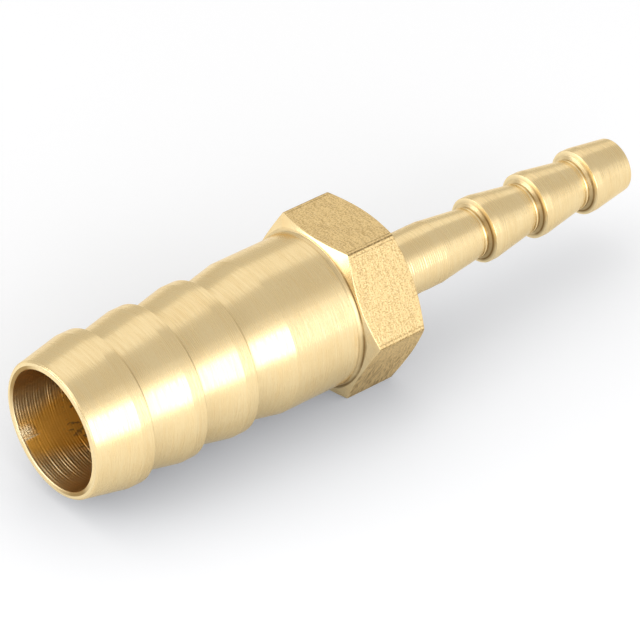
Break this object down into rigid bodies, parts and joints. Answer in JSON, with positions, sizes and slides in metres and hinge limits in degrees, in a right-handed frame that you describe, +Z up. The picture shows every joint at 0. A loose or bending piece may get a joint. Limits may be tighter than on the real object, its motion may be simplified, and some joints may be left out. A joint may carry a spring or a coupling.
{
  "type": "hose barb reducer",
  "caption": "Straight brass reducer with a large barbed hose end, a hexagon for a spanner and a small barbed hose end, bored through to join hoses of different bore.",
  "frame": {"origin": "centre of the hexagon's lower flat, the face that the fitting lies on", "axes": "+X along the fitting from the large mouth to the small tip, +Z up, square to the lower flat"},
  "size_m": [0.0717, 0.0196, 0.017],
  "materials": {
    "brass": "machined, fine turning marks on the round stretches and drawn, slightly grainy flats"
  },
  "bodies": {
    "root": {"reducer_body": "brass"}
  },
  "joints": []
}
